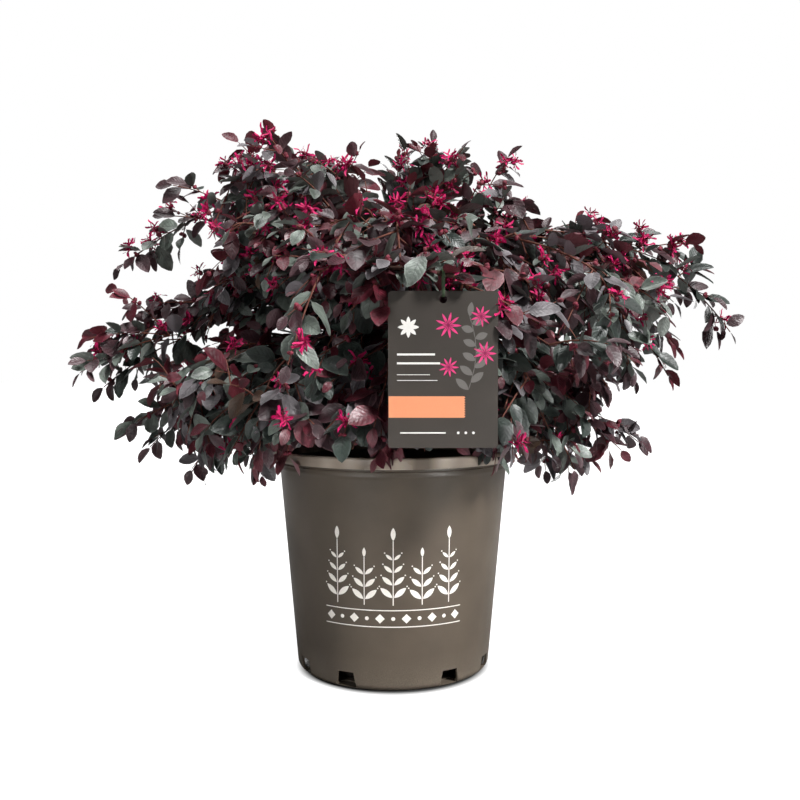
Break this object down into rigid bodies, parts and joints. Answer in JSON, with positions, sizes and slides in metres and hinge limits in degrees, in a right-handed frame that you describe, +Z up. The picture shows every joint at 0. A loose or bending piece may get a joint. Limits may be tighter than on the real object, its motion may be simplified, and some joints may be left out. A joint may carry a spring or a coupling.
{
  "type": "potted chinese fringe flower",
  "caption": "Arching, weeping shrub with small dark leaves and pink fringed flowers, in a round nursery pot with a hang tag.",
  "frame": {"origin": "centre of the pot's flat underside", "axes": "+Z up along the pot's axis, -Y towards the side where the tag hangs, +X to the right seen from there"},
  "size_m": [0.6707, 0.6225, 0.5692],
  "materials": {
    "pot": "satin taupe",
    "soil": "moist bark mix",
    "bark": "rough reddish brown",
    "foliage": "satin leaf",
    "tag": "satin card",
    "tag_strap": "satin"
  },
  "bodies": {
    "root": {"pot": "pot", "soil": "soil", "trunk": "bark", "bough_skirt_1": "bark", "bough_skirt_2": "bark", "bough_skirt_3": "bark", "bough_skirt_4": "bark", "bough_skirt_5": "bark", "bough_skirt_6": "bark", "bough_skirt_7": "bark", "bough_skirt_8": "bark", "bough_skirt_9": "bark", "bough_shoulder_1": "bark", "bough_shoulder_2": "bark", "bough_shoulder_3": "bark", "bough_shoulder_4": "bark", "bough_shoulder_5": "bark", "bough_shoulder_6": "bark", "bough_shoulder_7": "bark", "bough_shoulder_8": "bark", "bough_shoulder_9": "bark", "bough_shoulder_10": "bark", "bough_top_1": "bark", "bough_top_2": "bark", "bough_top_3": "bark", "bough_top_4": "bark", "bough_top_5": "bark", "bough_top_6": "bark", "bough_top_7": "bark", "bough_tag_side": "bark", "mass_skirt_1": "foliage", "mass_skirt_2": "foliage", "mass_skirt_3": "foliage", "mass_skirt_4": "foliage", "mass_skirt_5": "foliage", "mass_skirt_6": "foliage", "mass_skirt_7": "foliage", "mass_skirt_8": "foliage", "mass_skirt_9": "foliage", "mass_shoulder_1": "foliage", "mass_shoulder_2": "foliage", "mass_shoulder_3": "foliage", "mass_shoulder_4": "foliage", "mass_shoulder_5": "foliage", "mass_shoulder_6": "foliage", "mass_shoulder_7": "foliage", "mass_shoulder_8": "foliage", "mass_shoulder_9": "foliage", "mass_shoulder_10": "foliage", "mass_top_1": "foliage", "mass_top_2": "foliage", "mass_top_3": "foliage", "mass_top_4": "foliage", "mass_top_5": "foliage", "mass_top_6": "foliage", "mass_top_7": "foliage", "mass_tag_side": "foliage", "mass_leader": "foliage", "tag": "tag", "tag_strap": "tag_strap"}
  },
  "joints": []
}
